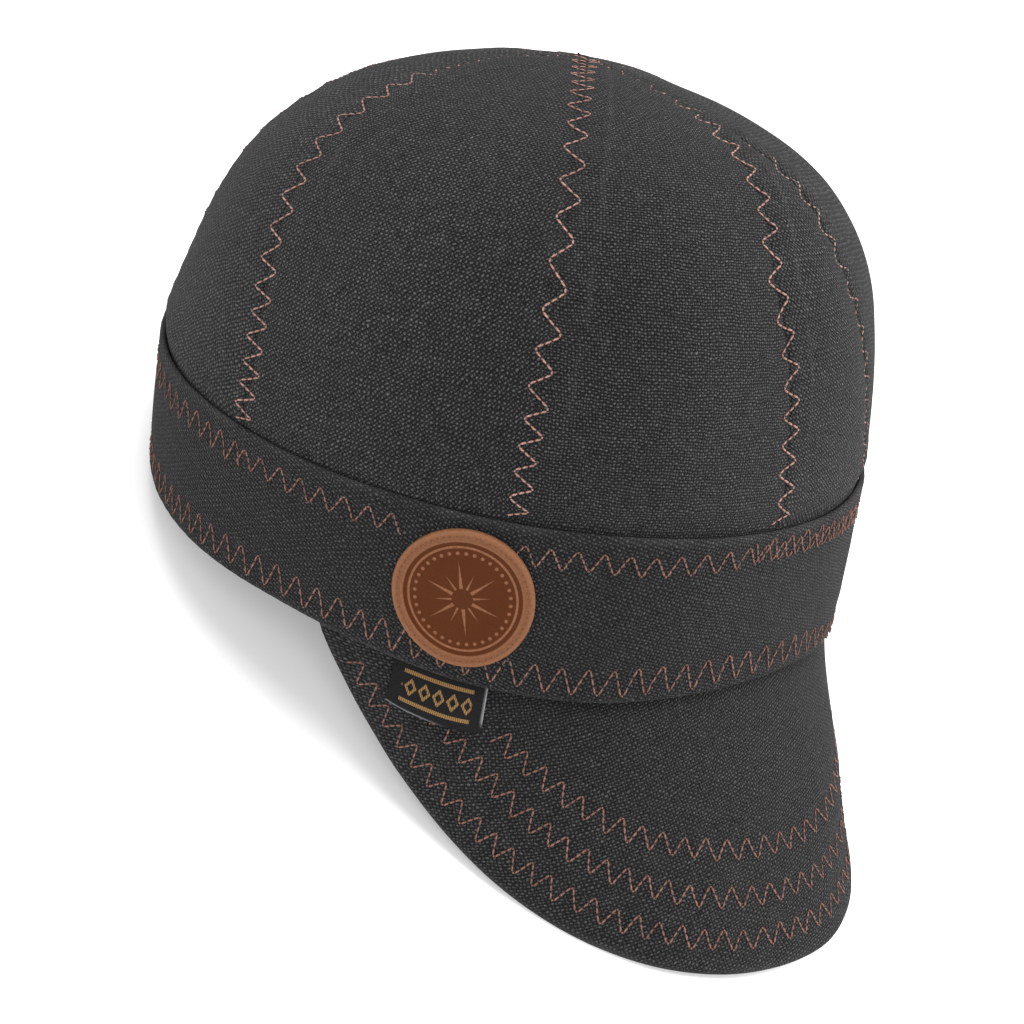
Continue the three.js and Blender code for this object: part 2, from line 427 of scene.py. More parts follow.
class Board:
    """A material's node tree with short ways to add nodes."""

    def __init__(self, name: str) -> None:
        """Start a material with one shader.

        Args:
            name: The material's name.
        """
        self.material = bpy.data.materials.new(name)
        self.material.use_nodes = True
        self.nodes = self.material.node_tree.nodes
        self.links = self.material.node_tree.links
        self.shader = self.nodes["Principled BSDF"]

    def plug(self, socket: Socket, value: object) -> None:
        """Link or set a socket.

        Args:
            socket: The input.
            value: A socket to link, or a value to set.
        """
        if isinstance(value, Socket):
            self.links.new(value, socket)
        else:
            socket.default_value = value

    def math(self, kind: str, first: object, second: object = 0.0, third: object = 0.0) -> Socket:
        """Add a Math node.

        Args:
            kind: Its operation.
            first: First input.
            second: Second input.
            third: Third input.

        Returns:
            Its output.
        """
        node = self.nodes.new("ShaderNodeMath")
        node.operation = kind
        for socket, value in zip(node.inputs, (first, second, third)):
            self.plug(socket, value)
        return node.outputs[0]

    def times(self, first: object, second: object) -> Socket:
        """Multiply two numbers."""
        return self.math("MULTIPLY", first, second)

    def plus(self, first: object, second: object) -> Socket:
        """Add two numbers."""
        return self.math("ADD", first, second)

    def fused(self, first: object, second: object, third: object) -> Socket:
        """Multiply the first two numbers and add the third."""
        return self.math("MULTIPLY_ADD", first, second, third)

    def apart(self, first: object, second: object) -> Socket:
        """Give how far two numbers are apart."""
        return self.math("ABSOLUTE", self.math("SUBTRACT", first, second))

    def below(self, first: object, second: object) -> Socket:
        """Give 1 where the first number is the smaller."""
        return self.math("LESS_THAN", first, second)

    def paint(self, colour: Socket) -> None:
        """Give the shader its colour."""
        self.plug(self.shader.inputs["Base Color"], colour)

    def noise(self, where: object, scale: float, detail: float = 2.0, rough: float = 0.5) -> Socket:
        """Add a Noise Texture.

        Args:
            where: Its coordinates.
            scale: Its scale.
            detail: Its detail.
            rough: Its roughness.

        Returns:
            Its value.
        """
        node = self.nodes.new("ShaderNodeTexNoise")
        self.plug(node.inputs["Vector"], where)
        node.inputs["Scale"].default_value = scale
        node.inputs["Detail"].default_value = detail
        node.inputs["Roughness"].default_value = rough
        return node.outputs["Fac"]

    def mixed(self, share: object, first: object, second: object) -> Socket:
        """Mix two colours.

        Args:
            share: How much of the second.
            first: First colour.
            second: Second colour.

        Returns:
            The mixed colour.
        """
        node = self.nodes.new("ShaderNodeMix")
        node.data_type = "RGBA"
        self.plug(node.inputs["Factor"], share)
        for socket, value in zip(node.inputs[6:8], (first, second)):
            self.plug(socket, (*value, 1.0) if isinstance(value, tuple) else value)
        return node.outputs[2]

    def blend(self, share: object, first: object, second: object) -> Socket:
        """Mix two numbers.

        Args:
            share: How much of the second.
            first: First number.
            second: Second number.

        Returns:
            The mixed number.
        """
        node = self.nodes.new("ShaderNodeMix")
        for index, value in ((0, share), (2, first), (3, second)):
            self.plug(node.inputs[index], value)
        return node.outputs[0]

    def uv(self, scale: float = 1.0, turn: float = 0.0) -> Socket:
        """Read the piece's own UV map, in metres.

        Args:
            scale: How much the map is enlarged.
            turn: How far the map is turned, in degrees.

        Returns:
            The coordinates.
        """
        source = self.nodes.new("ShaderNodeUVMap")
        source.uv_map = "UVMap"
        mapping = self.nodes.new("ShaderNodeMapping")
        mapping.inputs["Scale"].default_value = (scale, scale, scale)
        mapping.inputs["Rotation"].default_value = (0, 0, math.radians(turn))
        self.links.new(source.outputs[0], mapping.inputs["Vector"])
        return mapping.outputs[0]

    def object_place(self) -> Socket:
        """Read Object coordinates."""
        return self.nodes.new("ShaderNodeTexCoord").outputs["Object"]

    def split(self, vector: Socket) -> tuple[Socket, Socket]:
        """Split a vector.

        Args:
            vector: The vector.

        Returns:
            Its X and Y.
        """
        node = self.nodes.new("ShaderNodeSeparateXYZ")
        self.links.new(vector, node.inputs[0])
        return node.outputs[0], node.outputs[1]

    def cloud(self, where: object, scale: float, detail: float) -> Socket:
        """Add a Noise Texture for a wandering direction.

        Args:
            where: Its coordinates.
            scale: Its scale.
            detail: Its detail.

        Returns:
            Its colour.
        """
        return self.noise(where, scale, detail).node.outputs["Color"]

    def vector(self, kind: str, first: object, second: object, third: object = (0, 0, 0)) -> Socket:
        """Add a Vector Math node.

        Args:
            kind: Its operation.
            first: First input.
            second: Second input.
            third: Third input.

        Returns:
            Its vector.
        """
        node = self.nodes.new("ShaderNodeVectorMath")
        node.operation = kind
        for socket, value in zip(node.inputs, (first, second, third)):
            self.plug(socket, value)
        return node.outputs[0]

    def wear(self) -> Socket:
        """Read how worn the surface is there.

        Returns:
            The wear, from 0 to about 1.
        """
        node = self.nodes.new("ShaderNodeAttribute")
        node.attribute_name = "wear"
        return node.outputs["Fac"]

    def bump(self, height: Socket, distance: float, strength: float = 1.0) -> None:
        """Bump the shader's surface.

        Args:
            height: The height.
            distance: How high 1 is, in metres.
            strength: How strongly it shows.
        """
        node = self.nodes.new("ShaderNodeBump")
        node.inputs["Strength"].default_value = strength
        node.inputs["Distance"].default_value = distance
        self.links.new(height, node.inputs["Height"])
        self.links.new(node.outputs[0], self.shader.inputs["Normal"])

    def constants(self, **values: float) -> None:
        """Set constant values on the shader, underscores standing for spaces.

        Args:
            **values: Socket names and values.
        """
        for name, value in values.items():
            self.shader.inputs[name.replace("_", " ")].default_value = value


@dataclass(frozen=True)
class Canvas:
    """Charcoal cotton duck in a plain weave, whose weft stands out a little."""

    name: str
    grain: Grain
    thread: float
    dark: Colour = (0.0045, 0.0046, 0.0048)
    light: Colour = (0.126, 0.125, 0.127)
    relief: float = 0.46 * MM
    # shade is painted shade: the share of the cloth's brightness that is kept, so that the band and
    # bill are darker copies of the crown's canvas.
    shade: float = 1.0
    weft: float = 0.3

    def material(self) -> bpy.types.Material:
        """Weave the cloth.

        Returns:
            The material.
        """
        board = Board(self.name)
        base = board.uv(1.0 / self.thread, self.grain.turn)
        drift = board.vector("MULTIPLY_ADD", board.cloud(base, 0.11, 3.0), (2.4, 2.4, 0.0), base)
        bent = board.vector("MULTIPLY_ADD", board.cloud(base, 0.8, 2.0), (0.9, 0.9, 0.0), drift)
        across, along = board.split(bent)
        column, row = board.math("FLOOR", across), board.math("FLOOR", along)
        parity = board.math("FLOORED_MODULO", board.plus(column, row), 2.0)
        hump_across = board.math("SINE", board.times(board.math("FRACT", across), math.pi))
        hump_along = board.math("SINE", board.times(board.math("FRACT", along), math.pi))
        warp = board.times(hump_across, board.fused(hump_along, 0.55, 0.45 - self.weft))
        weft = board.times(hump_along, board.fused(hump_across, 0.55, 0.45))
        weave = board.blend(parity, warp, weft)
        warp_tone = board.noise(board.vector("MULTIPLY", bent, (1.05, 0.16, 1.0)), 1.0, 2.0)
        weft_tone = board.noise(board.vector("MULTIPLY", bent, (0.16, 1.05, 1.0)), 1.0, 2.0)
        tone = board.blend(parity, warp_tone, weft_tone)
        slub = board.noise(base, 0.3, 3.0)
        fibre = board.noise(base, 1.5, 4.0, 0.72)
        # The weave's humps also set the colour: thread crowns are painted paler and the gaps between
        # threads darker, painted shade between the threads on top of the bump.
        value = board.fused(weave, 1.15, board.fused(tone, 0.8, -0.68))
        value = board.plus(value, board.fused(fibre, 1.3, -0.65))
        value = board.plus(value, board.fused(slub, 0.4, -0.2))
        bright = board.math("POWER", board.math("MINIMUM", board.math("MAXIMUM", value, 0.0), 1.4), 1.6)
        cloth = board.mixed(board.times(bright, self.shade), self.dark, self.light)
        patches = board.noise(board.object_place(), 30.0, 3.0, 0.55)
        cloth = board.mixed(board.fused(patches, 0.5, -0.16), cloth, self.dark)
        cloth = board.mixed(board.times(board.wear(), 0.2), cloth, self.light)
        board.paint(cloth)
        height = board.plus(weave, board.times(fibre, 0.9))
        board.bump(board.plus(height, board.times(tone, 0.4)), self.relief)
        board.constants(Roughness=0.92, Sheen_Weight=0.05, Sheen_Roughness=0.5, Specular_IOR_Level=0.1)
        return board.material


@dataclass(frozen=True)
class Thread:
    """Twisted copper-brown sewing thread, with a painted highlight along its upper side and painted
    shade at its ends and sides.
    """

    name: str = "copper_thread"
    dark: Colour = (0.055, 0.019, 0.014)
    light: Colour = (0.43, 0.255, 0.21)
    plies: float = 3.0

    def material(self) -> bpy.types.Material:
        """Twist the thread.

        Returns:
            The material.
        """
        board = Board(self.name)
        around, along = board.split(board.uv())
        twist = board.fused(along, self.plies, board.times(around, 2.0))
        strand = board.math("SINE", board.times(board.math("FRACT", twist), math.pi))
        # Painted highlight: the stitch's upper side is painted paler and its other sides darker, as the
        # light falls on it.
        ridge = board.math("COSINE", board.fused(around, math.tau, -math.tau * 2 / 3))
        ridge = board.math("POWER", board.fused(ridge, 0.5, 0.5), 3.0)
        # Painted shade: each stitch is painted darker towards both ends, where it dips into the cloth.
        middle = board.math("POWER", board.math("SINE", board.times(along, math.pi)), 1.6)
        tone = board.noise(board.object_place(), 210.0, 3.0, 0.6)
        # The twist is painted darker between the plies: painted shade in the grooves of the thread.
        share = board.times(board.times(ridge, middle), board.fused(strand, 0.5, 0.5))
        share = board.times(share, board.fused(tone, 1.9, 0.1))
        board.paint(board.mixed(share, self.dark, self.light))
        board.bump(strand, 0.08 * MM)
        board.constants(Roughness=0.6, Specular_IOR_Level=0.15)
        return board.material


@dataclass(frozen=True)
class PatchLeather:
    """Stamped leather: a light rim, a dark field and a plain burst of rays inside a ring of dots."""

    name: str = "patch_leather"
    rim: Colour = (0.215, 0.094, 0.046)
    field: Colour = (0.078, 0.019, 0.0028)
    line: Colour = (0.30, 0.135, 0.07)
    field_radius: float = 0.83
    rays: float = 12.0
    dots: float = 36.0

    def material(self) -> bpy.types.Material:
        """Tan and stamp the leather.

        Returns:
            The material.
        """
        board = Board(self.name)
        place = board.uv()
        across, up = board.split(place)
        radius = board.math("SQRT", board.fused(across, across, board.times(up, up)))
        angle = board.math("ARCTAN2", up, across)
        lap = board.times(angle, 1 / math.tau)
        inside = board.below(radius, self.field_radius)
        ring = board.below(board.apart(radius, 0.755), 0.017)
        spot = board.math("SUBTRACT", board.math("FRACT", board.times(lap, self.dots)), 0.5)
        sideways = board.times(spot, math.tau * 0.665 / self.dots)
        inward = board.math("SUBTRACT", radius, 0.665)
        dot = board.math("SQRT", board.fused(sideways, sideways, board.times(inward, inward)))
        dotted = board.below(dot, 0.026)
        turn = board.times(lap, self.rays)
        beam = board.apart(board.math("FRACT", turn), 0.5)
        odd = board.math("FLOORED_MODULO", board.math("FLOOR", turn), 2.0)
        reach = board.fused(odd, -0.16, 0.56)
        taper = board.times(board.math("SUBTRACT", reach, radius), 0.42)
        ray = board.below(board.times(beam, radius), board.times(taper, 0.3))
        ray = board.times(ray, board.math("GREATER_THAN", radius, 0.15))
        drawn = board.math("MAXIMUM", board.math("MAXIMUM", ring, dotted), ray)
        drawn = board.times(drawn, inside)
        grain = board.noise(place, 26.0, 5.0, 0.62)
        fine = board.noise(place, 90.0, 3.0, 0.6)
        pores = board.nodes.new("ShaderNodeTexVoronoi")
        pores.feature = "DISTANCE_TO_EDGE"
        pores.inputs["Scale"].default_value = 34.0
        board.links.new(place, pores.inputs["Vector"])
        cells = board.math("MINIMUM", board.times(pores.outputs["Distance"], 7.0), 1.0)
        leather = board.mixed(inside, self.rim, self.field)
        leather = board.mixed(board.times(drawn, 0.85), leather, self.line)
        leather = board.mixed(board.fused(grain, 1.3, -0.45), leather, self.field)
        leather = board.mixed(board.fused(fine, 1.5, -0.6), leather, (0.05, 0.013, 0.003))
        worn = board.times(board.wear(), board.fused(fine, 0.8, 0.1))
        leather = board.mixed(worn, leather, self.line)
        board.paint(leather)
        height = board.fused(grain, 0.5, board.times(fine, 0.35))
        height = board.plus(height, board.times(cells, 0.35))
        board.bump(board.math("SUBTRACT", height, board.times(drawn, 1.1)), 0.16 * MM)
        board.plug(board.shader.inputs["Roughness"], board.fused(grain, 0.3, 0.42))
        board.constants(Specular_IOR_Level=0.1)
        return board.material


@dataclass(frozen=True)
class LabelWeave:
    """Black woven satin with plain bronze lozenges and bars, and a pale edge thread."""

    name: str = "label_weave"
    black: Colour = (0.003, 0.003, 0.0035)
    grey: Colour = (0.014, 0.014, 0.015)
    bronze: Colour = (0.30, 0.17, 0.06)
    pale: Colour = (0.5, 0.5, 0.52)
    width: float = 22.5 * MM
    height: float = 9 * MM
    thread: float = 0.28 * MM

    def material(self) -> bpy.types.Material:
        """Weave the label.

        Returns:
            The material.
        """
        board = Board(self.name)
        across, up = board.split(board.uv())
        rib = board.math("SINE", board.times(up, math.tau / self.thread))
        cord = board.math("SINE", board.times(across, math.tau / (1.7 * self.thread)))
        tone = board.noise(board.uv(1 / self.thread), 0.6, 2.0)
        cloth = board.mixed(board.fused(rib, 0.3, tone), self.black, self.grey)
        middle = board.apart(up, self.height * 0.5)
        cell = board.times(across, 1 / (self.width * 0.15))
        beside = board.apart(board.math("FRACT", cell), 0.5)
        lozenge = board.fused(beside, 2.2, board.times(middle, 1 / (self.height * 0.19)))
        edge = board.below(board.apart(lozenge, 0.75), 0.24)
        bars = board.below(board.apart(middle, self.height * 0.3), 0.35 * MM)
        span = board.apart(across, self.width * 0.5)
        within = board.below(span, self.width * 0.37)
        drawn = board.times(board.math("MAXIMUM", edge, bars), within)
        sewn = board.times(drawn, board.fused(cord, 0.35, 0.62))
        cloth = board.mixed(sewn, cloth, self.bronze)
        cloth = board.mixed(board.times(board.wear(), 0.75), cloth, self.pale)
        board.paint(cloth)
        board.bump(board.plus(board.times(rib, 0.5), board.times(drawn, 1.2)), 0.07 * MM)
        board.constants(Roughness=0.6, Specular_IOR_Level=0.08)
        return board.material


@dataclass(frozen=True)
class PaleFloor:
    """A plain pale studio surface."""

    name: str = "pale_floor"
    tone: float = 0.86

    def material(self) -> bpy.types.Material:
        """Paint the floor.

        Returns:
            The material.
        """
        board = Board(self.name)
        grain = board.noise(board.object_place(), 6.0, 4.0)
        light, dark = (self.tone,) * 3, (self.tone * 0.985,) * 3
        board.paint(board.mixed(grain, light, dark))
        board.shader.inputs["Emission Color"].default_value = (1.0, 1.0, 1.0, 1.0)
        board.constants(Roughness=0.9, Specular_IOR_Level=0.1, Emission_Strength=0.22)
        return board.material


class Workshop:
    """Turns bmeshes into finished pieces of the cap."""

    def __init__(self) -> None:
        """Start with no pieces."""
        self.made: list[str] = []

    def finish(
        self,
        work: bmesh.types.BMesh,
        name: str,
        material: bpy.types.Material,
        nodes: tuple[str, ...] = (),
        wall: float = 0.0,
    ) -> bpy.types.Object:
        """Make a piece ride on the cap.

        Args:
            work: The mesh, placed in the frame.
            name: The piece's name.
            material: Its finish.
            nodes: The CAD nodes that the piece replaces.
            wall: The thickness that it gets inwards, if it is still a sheet.

        Returns:
            The piece.
        """
        mesh = bpy.data.meshes.new(name)
        work.to_mesh(mesh)
        work.free()
        for face in mesh.polygons:
            face.use_smooth = True
        mesh.materials.append(material)
        piece = bpy.data.objects.new(name, mesh)
        bpy.context.scene.collection.objects.link(piece)
        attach(piece, BODY)
        if nodes:
            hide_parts(*nodes)
        if wall:
            solid = piece.modifiers.new("wall", "SOLIDIFY")
            solid.thickness = wall
            solid.offset = -1
        self.made.append(name)
        log.info("%s: %d faces, %s", name, len(mesh.polygons), material.name)
        return piece


def sheet(columns: int, rows: int) -> bmesh.types.BMesh:
    """Start a sheet whose points hold their column and row as shares in X and Y.

    Args:
        columns: Faces across.
        rows: Faces along.

    Returns:
        The flat sheet, from 0 to 1 each way, with a UV map and a wear layer.
    """
    work = bmesh.new()
    work.loops.layers.uv.new("UVMap")
    work.verts.layers.float.new("wear")
    bmesh.ops.create_grid(work, x_segments=columns, y_segments=rows, size=0.5)
    bmesh.ops.translate(work, verts=work.verts, vec=(0.5, 0.5, 0))
    return work


def drape(
    work: bmesh.types.BMesh,
    place: Callable[[float, float], Placed],
) -> None:
    """Move every point of a sheet to its place, and store its cloth coordinates and wear.

    Args:
        work: A sheet from the sheet function.
        place: Gives the point, the cloth coordinates and the wear of a column and row.
    """
    uv = work.loops.layers.uv["UVMap"]
    wear = work.verts.layers.float["wear"]
    cloth = {}
    for vert in work.verts:
        column, row = vert.co.x, vert.co.y
        vert.co, cloth[vert.index], vert[wear] = place(column, row)
    for face in work.faces:
        for loop in face.loops:
            loop[uv].uv = cloth[loop.vert.index]


@dataclass
class Tape:
    """Lengths along a line, so that a place can be found by its distance."""

    keys: list[float]
    lengths: list[float]

    @classmethod
    def along(
        cls, spot: Callable[[float], Vector], start: float, end: float, steps: int = 160
    ) -> "Tape":
        """Measure a line.

        Args:
            spot: Gives the point at a key.
            start: The first key.
            end: The last key.
            steps: How finely to measure.

        Returns:
            The tape.
        """
        keys = [start + (end - start) * step / steps for step in range(steps + 1)]
        lengths = [0.0]
        last = spot(keys[0])
        for key in keys[1:]:
            here = spot(key)
            lengths.append(lengths[-1] + (here - last).length)
            last = here
        return cls(keys, lengths)

    @property
    def total(self) -> float:
        """The whole length."""
        return self.lengths[-1]

    def key(self, length: float) -> float:
        """Find the key at a distance.

        Args:
            length: Distance from the start.

        Returns:
            The key there.
        """
        low, high = 0, len(self.lengths) - 1
        while high - low > 1:
            middle = (low + high) // 2
            if self.lengths[middle] <= length:
                low = middle
            else:
                high = middle
        span = self.lengths[high] - self.lengths[low]
        share = (length - self.lengths[low]) / span if span else 0.0
        return self.keys[low] + (self.keys[high] - self.keys[low]) * share


@dataclass
class Zigzag:
    """A row of three-step zigzag stitches with a short stitch round each corner."""

    length: float
    spot: Callable[[float, float], tuple[float, float]]
    skin: Skin
    pitch: Callable[[float], float]
    width: float
    lean: float = 0.5
    thread: float = 0.58 * MM
    places: tuple[float, ...] = (0.11, 0.37, 0.63, 0.89)
    blunt: float = -0.45
    arch: float = 0.75
    dip: float = 0.45
    flat: float = 0.7
    half: float = 0.51
    seed: int = 7
    buried: Callable[[float], float] = lambda share: 0.0

    def loop(self) -> bpy.types.Mesh:
        """Shape one stitch of unit length: a flattened strand, arched so that its ends dip.

        Returns:
            The stitch, lying along Z.
        """
        work = bmesh.new()
        work.loops.layers.uv.new("UVMap")
        bmesh.ops.create_uvsphere(work, u_segments=6, v_segments=6, radius=1.0, calc_uvs=True)
        for vert in work.verts:
            round_part = math.hypot(vert.co.x, vert.co.y)
            fuller = round_part**self.blunt if round_part > 1e-6 else 1.0
            arch = self.arch * (1 - vert.co.z**2) - self.dip
            vert.co.x *= fuller * self.thread / 2
            vert.co.y = (vert.co.y * fuller * self.flat + arch) * self.thread / 2
            vert.co.z *= self.half
        mesh = bpy.data.meshes.new("loop")
        work.to_mesh(mesh)
        work.free()
        return mesh

    def stitch(self, work: bmesh.types.BMesh, start: Vector, end: Vector, up: Vector) -> None:
        """Lay one stitch.

        Args:
            work: The mesh to add to.
            start: Where the thread comes up.
            end: Where it goes down.
            up: Away from the cloth.
        """
        along = end - start
        forward = along.normalized()
        side = up.cross(forward).normalized()
        turn = Matrix((side, forward.cross(side), along)).transposed().to_4x4()
        mesh = self.loop()
        mesh.transform(Matrix.Translation((start + end) / 2) @ turn)
        work.from_mesh(mesh)
        bpy.data.meshes.remove(mesh)

    def corners(self) -> list[tuple[float, float]]:
        """List the zigzag's corners.

        Returns:
            The distances and the shares, which lie to either side in turn.
        """
        chance = random.Random(self.seed)
        corners = []
        place, side = 0.0, 1.0
        while place < self.length:
            corners.append((place, side * (1.12 + chance.uniform(-0.1, 0.1))))
            share = place / self.length
            step = self.pitch(share) * (self.lean if side > 0 else 1 - self.lean)
            place += step * (1 + chance.uniform(-0.11, 0.11))
            side = -side
        return corners

    def sew(self) -> bmesh.types.BMesh:
        """Sew the whole row.

        Returns:
            The mesh of its thread.
        """
        work = thread_mesh()
        corners = self.corners()
        chance = random.Random(self.seed + 100)
        ends: list[tuple[Vector, Vector]] = []
        for (start, left), (end, right) in zip(corners, corners[1:]):
            for share in self.places:
                along = start + (end - start) * share
                side = (left + (right - left) * share) * self.width / 2
                point = self.spot(along, side)
                rise = 0.06 * MM + chance.uniform(-0.07, 0.04) * MM - self.buried(along / self.length)
                low = FORM.settled(lifted(self.skin, *point, rise))
                high = FORM.settled(lifted(self.skin, *point, 1.1 * MM))
                ends.append((low, (high - low).normalized()))
        for (low, up), (after, _) in zip(ends, ends[1:]):
            self.stitch(work, low, after, up)
        return work


def thread_mesh() -> bmesh.types.BMesh:
    """Start a mesh that stitches are added to.

    Returns:
        The empty mesh, with a UV map.
    """
    work = bmesh.new()
    work.loops.layers.uv.new("UVMap")
    return work


@dataclass
class Crown:
    """Eight panels of canvas, joined by flat seams under zigzag stitches."""

    apex_turn: float = 0.9955
    columns: int = 44
    rows: int = 100
    puff: float = 1.4 * MM
    groove: float = 0.07 * MM
    groove_width: float = 0.9 * MM
    allowance: float = 7.6 * MM
    allowance_rise: float = 0.22 * MM
    pucker: float = 0.17 * MM
    pucker_pitch: float = 5.5 * MM
    ripple: float = 0.55 * MM
    snug: float = 1.1 * MM
    fuller_top: float = 1.0 * MM
    knob: float = 1.0 * MM
    shy: float = -0.04 * MM
    grains: tuple[Grain, ...] = (
        Grain.STRAIGHT, Grain.BIAS, Grain.SLANTED, Grain.LEANING,
        Grain.COUNTER, Grain.BIAS, Grain.SLANTED, Grain.COUNTER,
    )

    def between(self, angle: float, turn: float) -> tuple[float, float, float]:
        """Place a spot between its two seams.

        Args:
            angle: Angle from the front.
            turn: Share of the quarter turn.

        Returns:
            Its share of the way across the panel, and its distances to the seam before and after.
        """
        lap = angle % math.tau
        for index, seam in enumerate(SEAMS):
            start = seam.at(turn)
            following = SEAMS[(index + 1) % len(SEAMS)]
            end = following.at(turn) + (math.tau if following.angle < seam.angle else 0.0)
            if lap < start and end > math.tau:
                lap += math.tau
            if start <= lap < end:
                radius = FORM.from_axis(FORM.crown(angle, turn, 0))
                return (lap - start) / (end - start), (lap - start) * radius, (end - lap) * radius
        return 0.0, 0.0, 0.05

    def relief(self, angle: float, turn: float) -> float:
        """Give the cloth's rise over the crown's plain form.

        Args:
            angle: Angle from the front.
            turn: Share of the quarter turn.

        Returns:
            The rise.
        """
        if turn <= 0:
            return self.snug * smooth(-0.5, -0.08, turn)
        spot = FORM.crown(angle, turn, 0)
        share, before, after = self.between(angle, turn)
        near = min(before, after)
        climb = spot.z / FORM.crown_rise
        shown = smooth(0.0, 0.09, climb)
        tip = smooth(0.0, 9 * MM, FORM.from_axis(spot))
        flatter = 1 - 0.9 * max(math.sin(angle - 0.35), 0.0)
        puffed = self.puff * flatter * math.sin(math.pi * share)
        puffed *= math.sin(math.pi * min(max(climb, 0), 1))
        filled = self.snug * (1 - smooth(0.0, 0.08, climb))
        filled += self.fuller_top * smooth(0.72, 0.97, climb)
        groove = -self.groove * bell(near, self.groove_width)
        lap = self.allowance + 0.9 * MM * lumps(spot + Vector((0.3, 0, 0)), 22 * MM)
        plateau = self.allowance_rise * (1 - smooth(lap - 0.9 * MM, lap + 0.7 * MM, after))
        plateau *= smooth(0.0, 2.5 * MM, after)
        ridge = self.allowance_rise * 0.2 * bell(after - lap + 0.8 * MM, 0.5 * MM)
        wave = math.sin(math.tau * spot.z / self.pucker_pitch + 6 * lumps(spot, 30 * MM))
        puckers = self.pucker * wave * math.exp(-near / (5 * MM))
        soft = self.ripple * lumps(spot, 42 * MM) + 0.35 * self.ripple * lumps(spot, 15 * MM)
        knob = self.knob * bell(FORM.from_axis(spot), 4.5 * MM)
        return shown * (puffed + soft + (groove + plateau + ridge + puckers) * tip) + filled + knob

    def skin(self, angle: float, turn: float, out: float) -> Vector:
        """Give a point of the finished crown.

        Args:
            angle: Angle from the front.
            turn: Share of the quarter turn.
            out: Distance outside the outer face.

        Returns:
            The point on the upright cap.
        """
        return FORM.crown(angle, turn, out + self.relief(angle, turn))

    def panel(self, index: int) -> bmesh.types.BMesh:
        """Cut and shape one panel.

        Args:
            index: Its number round the crown.

        Returns:
            The panel's mesh.
        """
        first, second = SEAMS[index], SEAMS[(index + 1) % len(SEAMS)]
        lap = math.tau if second.angle < first.angle else 0.0

        def angle_at(column: float, turn: float) -> float:
            """Give the angle of a column at a turn.

            Args:
                column: Share of the way across the panel.
                turn: Share of the quarter turn.

            Returns:
                The angle.
            """
            start, end = first.at(turn), second.at(turn) + lap
            shy = self.shy / FORM.half_width
            return start + shy + (end - start - 2 * shy) * column

        tapes: dict[float, Tape] = {}

        def place(column: float, row: float) -> Placed:
            """Place a point of the panel.

            Args:
                column: Share across the sheet.
                row: Share along the sheet.

            Returns:
                The point in the frame, its cloth coordinates and its wear.
            """
            key = round(column, 4)
            if key not in tapes:
                tapes[key] = Tape.along(
                    lambda turn: FORM.crown(angle_at(column, turn), turn, 0), -1.0, self.apex_turn, 150
                )
            tape = tapes[key]
            length = tape.total * row
            turn = tape.key(length)
            angle = angle_at(column, turn)
            spot = FORM.crown(angle, turn, 0)
            middle = angle_at(0.5, turn)
            cloth = ((angle - middle) * FORM.from_axis(spot), length)
            rise = self.relief(angle, turn)
            if turn > 0.002:
                point = lifted(FORM.crown, angle, turn, rise)
            else:
                point = FORM.crown(angle, turn, rise)
            _, before, after = self.between(angle, turn)
            wear = bell(after - self.allowance + 0.3 * MM, 0.4 * MM) * 0.5
            wear += 0.5 * max(lumps(spot, 9 * MM), 0) * bell(min(before, after), 4 * MM)
            return FORM.settled(point), cloth, wear * smooth(0.02, 0.2, turn)

        work = sheet(self.columns, self.rows)
        drape(work, place)
        bmesh.ops.reverse_faces(work, faces=work.faces)
        return work

    def seam_row(self, seam: Seam, seed: int) -> Zigzag:
        """Plan the zigzag over a seam.

        Args:
            seam: The seam.
            seed: Makes the row's own unevenness.

        Returns:
            The row.
        """
        tape = Tape.along(lambda turn: FORM.crown(seam.at(turn), turn, 0), 0.0, self.apex_turn)

        def spot(along: float, side: float) -> tuple[float, float]:
            """Find the crown place of a stitch end.

            Args:
                along: Distance along the row.
                side: Distance to the side of its middle line.

            Returns:
                Its angle and its turn.
            """
            here = along + 0.5 * MM
            turn = min(max(tape.key(here), 0.0005), self.apex_turn)
            point = FORM.crown(seam.at(turn), turn, 0)
            ahead = tape.key(min(here + MM, tape.total))
            behind = tape.key(max(here - MM, 0.0))
            uphill = FORM.crown(seam.at(ahead), ahead, 0) - FORM.crown(seam.at(behind), behind, 0)
            level = FORM.crown(seam.at(turn) + 0.01, turn, 0) - point
            skew = min(max(uphill.normalized().dot(level.normalized()), -0.8), 0.8)
            square = math.sqrt(1 - skew * skew)
            turn = min(max(tape.key(here - side * skew / square), 0.0005), self.apex_turn)
            radius = max(FORM.from_axis(FORM.crown(seam.at(turn), turn, 0)), 2 * MM)
            return seam.at(turn) + side / square / radius, turn

        def pitch(share: float) -> float:
            """Stretch the stitches half way up, and on some seams near the apex."""
            middle = seam.stretch * math.sin(math.pi * min(share * 1.1, 1.0)) ** 2
            return seam.pitch + middle + seam.opened * smooth(0.7, 0.88, share)

        def buried(share: float) -> float:
            """Draw the thread into the cloth, more so towards the apex."""
            return seam.sunk + seam.faded * smooth(0.55, 0.8, share)

        length = tape.total - 1 * MM
        form = (pitch, seam.width, seam.lean)
        return Zigzag(length, spot, self.stitch_skin, *form, seed=seed, buried=buried)

    def stitch_skin(self, angle: float, turn: float, out: float) -> Vector:
        """Give the skin that stitches lie on, which is never inside the apex."""
        return self.skin(angle, min(max(turn, 0.0002), 0.9975), out)

